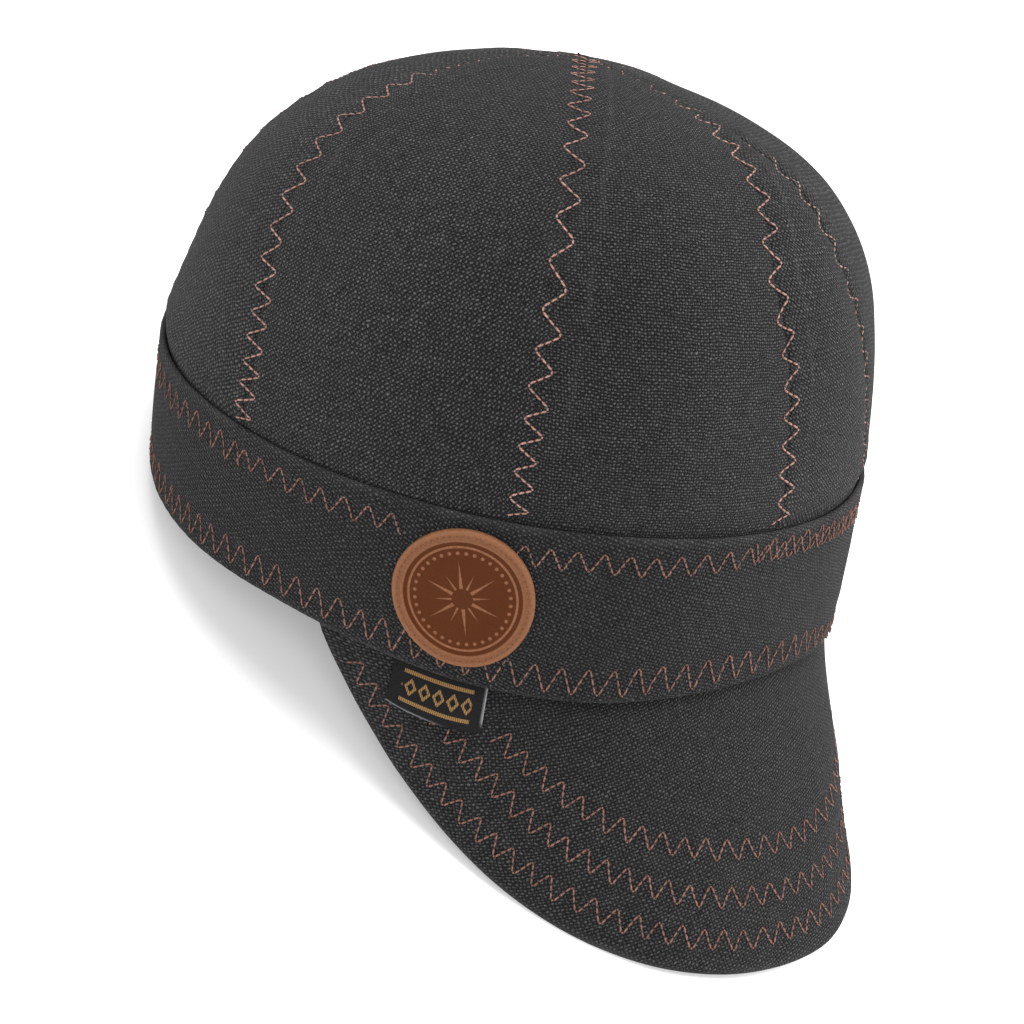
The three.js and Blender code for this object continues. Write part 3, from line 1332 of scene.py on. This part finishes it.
    def build(self, shop: Workshop, thread: bpy.types.Material) -> None:
        """Build the panels and their stitches.

        Args:
            shop: Finishes the pieces.
            thread: The stitches' finish.
        """
        cloths = {
            grain: Canvas(f"crown_canvas_{grain.name.lower()}", grain, grain.thread).material()
            for grain in self.grains
        }
        for index, seam in enumerate(SEAMS):
            following = SEAMS[(index + 1) % len(SEAMS)]
            span = f"{seam.name}_to_{following.name}"
            shop.finish(
                self.panel(index), f"crown_cloth_{span}", cloths[self.grains[index]],
                (f"crown_panel_{span}",), FORM.crown_wall,
            )
        for index, seam in enumerate(SEAMS):
            row = self.seam_row(seam, 20 + index)
            shop.finish(row.sew(), f"crown_stitches_{seam.name}", thread)


@dataclass(frozen=True)
class BandRow:
    """A zigzag row round the band, between two angles from the front, in degrees.

    The height is the distance below the top edge, or above the rim if negative. The row strays up by
    that much at the front, before it sinks on the wearer's left.
    """

    name: str
    height: float
    width: float
    pitch: float
    start: float
    end: float
    seed: int
    stray: float = 0.0


@dataclass
class Band:
    """The deep canvas band with a folded edge at the top and at the rim."""

    columns: int = 440
    wall_rows: int = 28
    fold_rows: int = 6
    inner_rows: int = 8
    fold_wall: float = 1.5 * MM
    top_row: float = 6.6 * MM
    rim_row: float = 5.7 * MM
    rim_sink: float = 4.2 * MM
    channel: float = 0.3 * MM
    pucker: float = 0.3 * MM
    ripple: float = 0.7 * MM

    def relief(self, angle: float, share: float) -> float:
        """Give the cloth's rise over the band's plain form.

        Args:
            angle: Angle from the front.
            share: 0 at the top edge, 1 at the rim.

        Returns:
            The rise.
        """
        depth = FORM.depth.at(angle)
        spot = FORM.band(angle, share, 0)
        down, up = share * depth, (1 - share) * depth
        rows = bell(down - self.top_row, 2.6 * MM) + bell(up - self.rim_row, 3.2 * MM)
        wave = math.sin(angle * 118 + 5 * lumps(spot, 26 * MM))
        near = math.exp(-abs(down - self.top_row) / (4 * MM))
        near += math.exp(-abs(up - self.rim_row) / (4 * MM))
        soft = self.ripple * lumps(spot, 34 * MM) + 0.3 * self.ripple * lumps(spot, 12 * MM)
        beside = (angle - PATCH_ANGLE) * FORM.half_length
        height = (share - 0.462) * depth
        open_cloth = smooth(15 * MM, 24 * MM, math.hypot(beside, height))
        return open_cloth * (soft - self.channel * rows + self.pucker * wave * near * 0.5)

    def skin(self, angle: float, share: float, out: float) -> Vector:
        """Give a point of the finished band's outer face.

        Args:
            angle: Angle from the front.
            share: 0 at the top edge, 1 at the rim.
            out: Distance outside the outer face.

        Returns:
            The point on the upright cap.
        """
        return FORM.band(angle, share, out + self.relief(angle, share))

    def section(self, angle: float) -> list[tuple[float, float]]:
        """List the band's section from the rim over the top edge and back inside.

        Args:
            angle: Angle from the front.

        Returns:
            Heights below the top edge and distances inside the outer face.
        """
        depth, half, fold = FORM.depth.at(angle), FORM.band_wall / 2, self.fold_wall / 2
        points = []
        for step in range(self.wall_rows + 1):
            points.append((depth - half - (depth - half - fold) * step / self.wall_rows, 0.0))
        for step in range(1, self.fold_rows + 1):
            turn = math.pi * step / self.fold_rows
            points.append((fold - fold * math.sin(turn), fold - fold * math.cos(turn)))
        for step in range(1, self.inner_rows + 1):
            share = step / self.inner_rows
            points.append((fold + (depth - half - fold) * share, 2 * fold + 2 * (half - fold) * share))
        for step in range(1, self.fold_rows + 1):
            turn = math.pi * step / self.fold_rows
            points.append((depth - half + half * math.sin(turn), half + half * math.cos(turn)))
        return points

    def wall(self) -> bmesh.types.BMesh:
        """Shape the band.

        Returns:
            Its mesh.
        """
        rows = self.wall_rows + self.inner_rows + 2 * self.fold_rows
        tape = Tape.along(lambda angle: FORM.band(angle, 0.5, 0), 0.0, math.tau, 720)

        def place(column: float, row: float) -> Placed:
            """Place a point of the band.

            Args:
                column: Share across the sheet.
                row: Share along the sheet.

            Returns:
                The point in the frame, its cloth coordinates and its wear.
            """
            angle = column * math.tau
            section = self.section(angle)
            down, inside = section[round(row * rows)]
            run = sum(math.dist(*pair) for pair in zip(section, section[1 : round(row * rows) + 1]))
            share = down / FORM.depth.at(angle)
            fade = 1 - smooth(0, FORM.band_wall, inside)
            out = self.relief(angle, share) * (0.35 + 0.65 * fade) - inside
            spot = FORM.band(angle, share, out)
            edge = min(down, FORM.depth.at(angle) - down)
            wear = bell(edge, 1.0 * MM) * (0.55 + 0.8 * lumps(spot, 11 * MM))
            return FORM.settled(spot), (tape.total * column, -run), max(wear, 0.0)

        work = sheet(self.columns, rows)
        drape(work, place)
        bmesh.ops.remove_doubles(work, verts=work.verts, dist=0.02 * MM)
        bmesh.ops.recalc_face_normals(work, faces=work.faces)
        return work

    def rows(self) -> tuple[BandRow, ...]:
        """List the two rows at the top, which overlap at the front, and the rim's row.

        Returns:
            The rows, in the order of sewing.
        """
        top, rim = self.top_row, -self.rim_row
        return (
            BandRow("top", top, 4.9 * MM, 6.0 * MM, 180, 448, 41, -1.5 * MM),
            BandRow("top_overlap", top, 6.2 * MM, 6.3 * MM, 86, 368, 42, -2.4 * MM),
            BandRow("rim", rim, 7.3 * MM, 6.0 * MM, 180, 540, 43),
        )

    def row(self, line: BandRow) -> Zigzag:
        """Plan a zigzag round the band.

        Args:
            line: Where the row lies.

        Returns:
            The row.
        """

        def share_at(angle: float, side: float) -> float:
            """Give a stitch's share of the band's depth.

            Args:
                angle: Angle from the front.
                side: Distance below the row's middle line.

            Returns:
                The share.
            """
            depth = FORM.depth.at(angle)
            left = math.degrees(math.tau - angle) if angle > math.pi else -math.degrees(angle)
            if line.height > 0:
                shift = line.stray * (smooth(-25, -5, left) - 1.5 * smooth(5, 40, left))
                return (line.height + (shift if left < 90 else 0.0) + side) / depth
            sunk = smooth(8, 32, left) * (1 - smooth(100, 150, left))
            return (depth + line.height + self.rim_sink * sunk + side * (1 - 0.5 * sunk)) / depth

        ends = math.radians(line.start), math.radians(line.end)
        tape = Tape.along(lambda angle: FORM.band(angle, share_at(angle, 0), 0), *ends, 720)

        def spot(along: float, side: float) -> tuple[float, float]:
            """Find the band place of a stitch end."""
            angle = tape.key(along)
            return angle, share_at(angle, side)

        def buried(share: float) -> float:
            """Draw the worn thread of the rim's row in on the wearer's left."""
            return 0.0 if line.height > 0 else 0.17 * MM * bell(share - 0.38, 0.06)

        form = (lambda share: line.pitch, line.width)
        return Zigzag(tape.total, spot, self.skin, *form, seed=line.seed, buried=buried)

    def build(self, shop: Workshop, thread: bpy.types.Material) -> None:
        """Build the band and its stitches.

        Args:
            shop: Finishes the pieces.
            thread: The stitches' finish.
        """
        # The band's canvas is painted darker than the crown's: painted shade.
        cloth = Canvas("band_canvas", Grain.LEANING, thread=0.8 * MM, shade=0.69).material()
        shop.finish(self.wall(), "band_cloth", cloth, ("band",))
        for line in self.rows():
            shop.finish(self.row(line).sew(), f"band_stitches_{line.name}", thread)


@dataclass(frozen=True)
class EdgeRow:
    """A zigzag row along the bill's edge.

    The reaches are shares of each side's spread, and the drift is how much farther in the row lies
    on the wearer's right.
    """

    distance: float
    right_reach: float
    left_reach: float
    drift: float = 0.0

    def at(self, angle: float) -> float:
        """Give its distance from the outer edge at an angle."""
        return self.distance + self.drift * smooth(0.3, 0.8, angle / FORM.right.spread)

    def reach(self, angle: float) -> float:
        """Give the share of the side's spread at which it ends."""
        return self.right_reach if angle > 0 else self.left_reach


@dataclass
class Bill:
    """The soft down-turned bill with three zigzag rows along its edge."""

    columns: int = 190
    upper_rows: int = 60
    fold_rows: int = 6
    under_rows: int = 30
    edge_rows: tuple[EdgeRow, ...] = (
        EdgeRow(8.3 * MM, 0.91, 0.91),
        EdgeRow(18.3 * MM, 0.745, 0.77, 3.9 * MM),
        EdgeRow(29.3 * MM, 0.59, 0.66, 3.6 * MM),
    )
    zigzag_width: float = 5.2 * MM
    pitch: float = 5.55 * MM
    lean: float = 0.44
    channel: float = 0.4 * MM
    pucker: float = 0.3 * MM
    ripple: float = 1.1 * MM

    def length(self, angle: float) -> float:
        """Give the bill's length at an angle."""
        return math.hypot(*FORM.bill_size(angle))

    def relief(self, angle: float, share: float) -> float:
        """Give the cloth's rise over the bill's plain form.

        Args:
            angle: Angle from the front.
            share: 0 at the rim, 1 at the outer edge.

        Returns:
            The rise.
        """
        if share <= 0:
            return 0.0
        from_edge = (1 - share) * self.length(angle)
        spot = FORM.bill(angle, share, 0)
        rise = 0.0
        for line in self.edge_rows:
            reach = line.reach(angle)
            there = 1 - smooth(reach, reach + 0.07, abs(angle) / FORM.side(angle).spread)
            wave = math.sin(angle * 100 + line.distance / MM + 5 * lumps(spot, 24 * MM))
            near = bell(from_edge - line.at(angle), 3.2 * MM)
            rise += there * near * (self.pucker * wave * 0.5 - self.channel)
        soft = self.ripple * lumps(spot, 36 * MM) + 0.3 * self.ripple * lumps(spot, 12 * MM)
        return (rise + soft) * smooth(0, 0.18, share)

    def skin(self, angle: float, share: float, out: float) -> Vector:
        """Give a point of the finished bill's upper face.

        Args:
            angle: Angle from the front.
            share: 0 at the rim, 1 at the outer edge.
            out: Distance outside the upper face.

        Returns:
            The point on the upright cap.
        """
        return FORM.bill(angle, share, out + self.relief(angle, share))

    def section(self) -> list[tuple[float, float, float]]:
        """List the bill's section from the sewn-in edge over the outer edge and back.

        Returns:
            Shares of the length, distances back from the outer edge and distances inside the
            upper face.
        """
        half = FORM.bill_wall / 2
        points = [(-1.0, 0.0, 0.0)]
        for step in range(self.upper_rows + 1):
            points.append((step / self.upper_rows, half * step / self.upper_rows, 0.0))
        for step in range(1, self.fold_rows + 1):
            turn = math.pi * step / self.fold_rows
            points.append((1.0, half - half * math.sin(turn), half - half * math.cos(turn)))
        for step in range(1, self.under_rows + 1):
            share = 1 - step / self.under_rows
            points.append((share, half * share, 2 * half))
        points.append((-1.0, 0.0, 2 * half))
        return points

    def wall(self) -> bmesh.types.BMesh:
        """Shape the bill.

        Returns:
            Its mesh.
        """
        section = self.section()

        def place(column: float, row: float) -> Placed:
            """Place a point of the bill.

            Args:
                column: Share across the sheet.
                row: Share along the sheet.

            Returns:
                The point in the frame, its cloth coordinates and its wear.
            """
            angle = FORM.side(column - 0.5).spread * (2 * column - 1)
            share, back, inside = section[round(row * (len(section) - 1))]
            length = self.length(angle)
            along = share - back / length if share > 0 else share
            rise = self.relief(angle, along) if share > 0 else 0.0
            point = FORM.bill(angle, along, rise - inside)
            plan = FORM.plan_point(angle, 12 * MM, 0)
            cloth = (plan.x * 1.12, along * length + inside)
            edge = bell((1 - along) * length, 1.3 * MM)
            return FORM.settled(point), cloth, edge * max(0.6 + 0.8 * lumps(point, 9 * MM), 0)

        work = sheet(self.columns, len(section) - 1)
        drape(work, place)
        bmesh.ops.holes_fill(work, edges=[edge for edge in work.edges if edge.is_boundary])
        bmesh.ops.recalc_face_normals(work, faces=work.faces)
        return work

    def row(self, line: EdgeRow, seed: int) -> Zigzag:
        """Plan a zigzag along the bill's edge.

        Args:
            line: Where the row lies.
            seed: Makes the row's own unevenness.

        Returns:
            The row.
        """
        start, end = FORM.right.spread * line.right_reach, -FORM.left.spread * line.left_reach

        def share_at(angle: float, side: float) -> float:
            """Give a stitch's share of the bill's length."""
            return max(1 - (line.at(angle) - side) / self.length(angle), 0.01)

        tape = Tape.along(lambda angle: FORM.bill(angle, share_at(angle, 0), 0), start, end, 360)

        def spot(along: float, side: float) -> tuple[float, float]:
            """Find the bill place of a stitch end.

            Args:
                along: Distance along the row.
                side: Distance to the side of its middle line.

            Returns:
                Its angle and its share of the length.
            """
            angle = tape.key(along)
            ahead, behind = tape.key(along + MM), tape.key(along - MM)
            onward = FORM.bill(ahead, share_at(ahead, 0), 0) - FORM.bill(behind, share_at(behind, 0), 0)
            outward = FORM.bill(angle, share_at(angle, MM), 0) - FORM.bill(angle, share_at(angle, 0), 0)
            skew = min(max(onward.normalized().dot(outward.normalized()), -0.8), 0.8)
            square = math.sqrt(1 - skew * skew)
            angle = tape.key(along - side * skew / square)
            return angle, share_at(angle, side / square)

        def buried(share: float) -> float:
            """Draw the worn thread in on the wearer's left."""
            return 0.16 * MM * smooth(0.7, 0.86, share)

        form = (lambda share: self.pitch, self.zigzag_width, self.lean)
        return Zigzag(tape.total, spot, self.skin, *form, seed=seed, buried=buried)

    def build(self, shop: Workshop, thread: bpy.types.Material) -> None:
        """Build the bill and its stitches.

        Args:
            shop: Finishes the pieces.
            thread: The stitches' finish.
        """
        # The bill's canvas is painted darker than the crown's: painted shade.
        cloth = Canvas("bill_canvas", Grain.LEANING, thread=0.74 * MM, shade=0.79).material()
        shop.finish(self.wall(), "bill_cloth", cloth, ("bill",))
        for index, line in enumerate(self.edge_rows):
            row = self.row(line, 60 + index)
            shop.finish(row.sew(), f"bill_stitches_{index + 1}", thread)


@dataclass
class Patch:
    """The round leather patch, stamped and sewn round its rim."""

    radius: float = 16 * MM
    wall: float = 1.8 * MM
    angle: float = PATCH_ANGLE
    share: float = 0.475
    taller: float = 1.03
    sides: int = 120
    stitch_radius: float = 0.915
    stitches: int = 64
    thread: float = 0.5 * MM
    profile: tuple[tuple[float, float], ...] = (
        (0.0, 0.1), (0.5, 0.1), (0.985, 0.1), (1.0, 0.2), (1.0, 0.72), (0.994, 0.86), (0.978, 0.96),
        (0.955, 1.0), (0.915, 0.985), (0.87, 1.0), (0.848, 0.98), (0.835, 0.9), (0.822, 0.8),
        (0.8, 0.77), (0.7, 0.76), (0.6, 0.76), (0.5, 0.76), (0.4, 0.76), (0.3, 0.76), (0.2, 0.76),
        (0.1, 0.76), (0.0, 0.76),
    )

    def on_band(self, across: float, up: float, out: float) -> Vector:
        """Lay a flat spot of the patch on the band.

        Args:
            across: Distance across, towards the wearer's right.
            up: Distance up.
            out: Distance off the band.

        Returns:
            The point on the upright cap.
        """
        middle = FORM.band(self.angle, 0.5, 0)
        radius = math.hypot(middle.x, middle.y)
        share = self.share - up * self.taller / FORM.depth.at(self.angle)
        return FORM.band(self.angle + across / radius, share, out)

    def disc(self) -> bmesh.types.BMesh:
        """Turn and lay the disc.

        Returns:
            Its mesh.
        """
        work = bmesh.new()
        points = [
            work.verts.new((radius * self.radius, 0, height * self.wall))
            for radius, height in self.profile
        ]
        edges = [work.edges.new(pair) for pair in zip(points, points[1:])]
        bmesh.ops.spin(
            work, geom=points + edges, cent=(0, 0, 0), axis=(0, 0, 1), dvec=(0, 0, 0),
            angle=math.tau, steps=self.sides, use_merge=True,
        )
        bmesh.ops.remove_doubles(work, verts=work.verts, dist=0.005 * MM)
        bmesh.ops.recalc_face_normals(work, faces=work.faces)
        uv = work.loops.layers.uv.new("UVMap")
        wear = work.verts.layers.float.new("wear")
        for face in work.faces:
            for loop in face.loops:
                loop[uv].uv = loop.vert.co.xy / self.radius
        for vert in work.verts:
            radius = vert.co.xy.length / self.radius
            vert[wear] = 0.8 * bell(radius - 0.97, 0.03) + 0.5 * bell(radius - 0.85, 0.015)
            vert.co = FORM.settled(self.on_band(vert.co.x, vert.co.y, vert.co.z + 0.12 * MM))
        bmesh.ops.recalc_face_normals(work, faces=work.faces)
        return work

    def rim_stitches(self) -> bmesh.types.BMesh:
        """Sew short stitches round the rim.

        Returns:
            The mesh of their threads.
        """
        row = Zigzag(
            1.0, lambda along, side: (along, side), self.on_band, lambda share: 1.0, 0.0,
            thread=self.thread,
        )
        work = thread_mesh()
        reach = self.radius * self.stitch_radius
        for index in range(self.stitches):
            ends = []
            for step in (index + 0.14, index + 0.86):
                turn = math.tau * step / self.stitches
                ends.append((reach * math.cos(turn), reach * math.sin(turn)))
            low = [FORM.settled(self.on_band(*end, self.wall * 0.97)) for end in ends]
            high = FORM.settled(self.on_band(*ends[0], self.wall * 2))
            row.stitch(work, low[0], low[1], (high - low[0]).normalized())
        return work

    def build(self, shop: Workshop) -> None:
        """Build the patch.

        Args:
            shop: Finishes the pieces.
        """
        leather = PatchLeather().material()
        shop.finish(self.disc(), "patch_disc", leather, ("leather_patch",))
        brown = Thread("patch_thread", dark=(0.05, 0.016, 0.006), light=(0.17, 0.062, 0.026)).material()
        shop.finish(self.rim_stitches(), "patch_stitches", brown)


@dataclass
class Label:
    """The small woven label that hangs from under the rim, over the bill."""

    bill: Bill
    angle: float = math.radians(50)
    width: float = 22.5 * MM
    drop: float = 9 * MM
    right_drop: float = 14.4 * MM
    left_drop: float = 8.82 * MM
    cut: float = 11.6 * MM
    wall: float = 0.6 * MM
    lift: float = 0.9 * MM
    stand_off: float = 0.45 * MM
    columns: int = 60
    rows: int = 28

    def build(self, shop: Workshop) -> None:
        """Build the label.

        Args:
            shop: Finishes the pieces.
        """
        rim = FORM.band(self.angle, 1, 0)
        half = self.width / 2 / math.hypot(rim.x, rim.y)
        length = self.bill.length(self.angle)

        def place(column: float, row: float) -> Placed:
            """Place a point of the label.

            Args:
                column: Share across the sheet.
                row: Share along the sheet.

            Returns:
                The point in the frame, its cloth coordinates and its wear.
            """
            angle = self.angle + half * (1 - 2 * column)
            down = (self.right_drop + (self.left_drop - self.right_drop) * column) * (1 - row)
            share = max(down / length, 0.004)
            curl = 0.35 * MM * math.sin(math.pi * column) * (1 - row)
            out = self.wall + self.stand_off + self.lift * (1 - row) ** 1.4 + curl
            out += 0.3 * MM * lumps(Vector((column * 3, row * 2, 0.5)), 1.0)
            selvedge = 0.8 * smooth(0.978, 0.992, column) * smooth(0.1, 0.3, row)
            foot = 0.55 * (1 - smooth(0.01, 0.035, row)) * (1 - smooth(0.3, 0.7, column))
            wear = max(selvedge, foot)
            relief = self.bill.relief(angle, share) if share > 0.03 else 0.0
            point = FORM.bill(angle, share, out + max(relief, 0.0))
            return FORM.settled(point), (column * self.width, row * self.drop), wear

        work = sheet(self.columns, self.rows)
        drape(work, place)
        weave = LabelWeave().material()
        piece = shop.finish(work, "label_tag", weave, ("woven_label",), self.wall)


@dataclass(frozen=True)
class Lamp:
    """A round soft lamp that points at the cap: its place and width in metres, and its watts."""

    name: str
    place: tuple[float, float, float]
    width: float
    watts: float

    def hang(self, aim: Vector) -> None:
        """Hang the lamp.

        Args:
            aim: Where it points.
        """
        data = bpy.data.lights.new(self.name, "AREA")
        data.shape = "DISK"
        data.size, data.energy = self.width, self.watts
        lamp = bpy.data.objects.new(self.name, data)
        lamp.location = self.place
        lamp.rotation_euler = (aim - Vector(self.place)).to_track_quat("-Z", "Y").to_euler()
        bpy.context.scene.collection.objects.link(lamp)


@dataclass
class Studio:
    """The pale floor, the soft light and the camera at the photograph's angle to the cap."""

    azimuth: float = math.radians(46.05)
    elevation: float = math.radians(23.95)
    roll: float = math.radians(-10.99)
    distance: float = 450 * MM
    aim_right: float = 0.35 * MM
    aim_up: float = -36.55 * MM
    lens_scale: float = 3.712
    image_width: float = 1024
    sensor: float = 36.0
    floor_half: float = 6.0
    sky: float = 0.62
    lamp_aim: float = 0.07
    lamps: tuple[Lamp, ...] = (
        Lamp("front_softbox", (-1.2, -0.95, 1.3), 1.2, 18),
        Lamp("side_softbox", (1.25, -0.65, 0.85), 0.9, 20),
        Lamp("top_softbox", (0.1, 0.2, 1.7), 1.5, 29),
    )

    def axes(self) -> tuple[Vector, Vector, Vector]:
        """Give the camera's axes before the cap is laid down.

        Returns:
            The three directions.
        """
        azimuth, elevation = self.azimuth, self.elevation
        back = Vector((
            -math.sin(azimuth) * math.cos(elevation),
            -math.cos(azimuth) * math.cos(elevation),
            math.sin(elevation),
        ))
        level = Vector((math.cos(azimuth), -math.sin(azimuth), 0))
        up = back.cross(level)
        right = math.cos(self.roll) * level - math.sin(self.roll) * up
        rolled_up = math.sin(self.roll) * level + math.cos(self.roll) * up
        return right, rolled_up, back

    def camera(self) -> None:
        """Set up the camera."""
        right, up, back = self.axes()
        aim = right * self.aim_right + up * self.aim_up
        eye = FORM.turned(aim + back * self.distance)
        data = bpy.data.cameras.new("camera")
        data.sensor_width = self.sensor
        focal_pixels = self.lens_scale * self.distance / MM
        data.lens = focal_pixels * self.sensor / self.image_width
        data.clip_start, data.clip_end = 0.02, 20
        camera = bpy.data.objects.new("camera", data)
        turn = Matrix([FORM.turned(axis) for axis in (right, up, back)]).transposed().to_4x4()
        place = Vector((eye.x, eye.y + FORM.rest_shift, eye.z + FORM.rest_lift))
        camera.matrix_world = Matrix.Translation(place) @ turn
        bpy.context.scene.collection.objects.link(camera)
        bpy.context.scene.camera = camera

    def floor(self) -> None:
        """Lay the floor."""
        work = bmesh.new()
        bmesh.ops.create_grid(work, x_segments=2, y_segments=2, size=self.floor_half)
        mesh = bpy.data.meshes.new("floor")
        work.to_mesh(mesh)
        work.free()
        mesh.materials.append(PaleFloor().material())
        floor = bpy.data.objects.new("floor", mesh)
        bpy.context.scene.collection.objects.link(floor)

    def light(self) -> None:
        """Light the studio."""
        world = bpy.data.worlds.new("studio")
        world.use_nodes = True
        sky = world.node_tree.nodes["Background"]
        sky.inputs["Color"].default_value = (1.0, 1.0, 1.0, 1.0)
        sky.inputs["Strength"].default_value = self.sky
        bpy.context.scene.world = world
        bpy.context.scene.view_settings.view_transform = "Standard"
        for lamp in self.lamps:
            lamp.hang(Vector((0, 0, self.lamp_aim)))

    def build(self) -> None:
        """Build the studio."""
        self.camera()
        self.floor()
        self.light()


def main() -> None:
    """Build the studio and the cap."""
    logging.basicConfig(level=logging.INFO, format="%(message)s")
    shop = Workshop()
    thread = Thread().material()
    # The band and bill are sewn with a darker copy of the copper thread.
    darker = Thread("darker_thread", dark=(0.042, 0.017, 0.013), light=(0.235, 0.124, 0.097)).material()
    Studio().build()
    Crown().build(shop, thread)
    Band().build(shop, darker)
    bill = Bill()
    bill.build(shop, darker)
    Patch().build(shop)
    Label(bill).build(shop)
    log.info("%d pieces", len(shop.made))


if __name__ == "__main__":
    main()
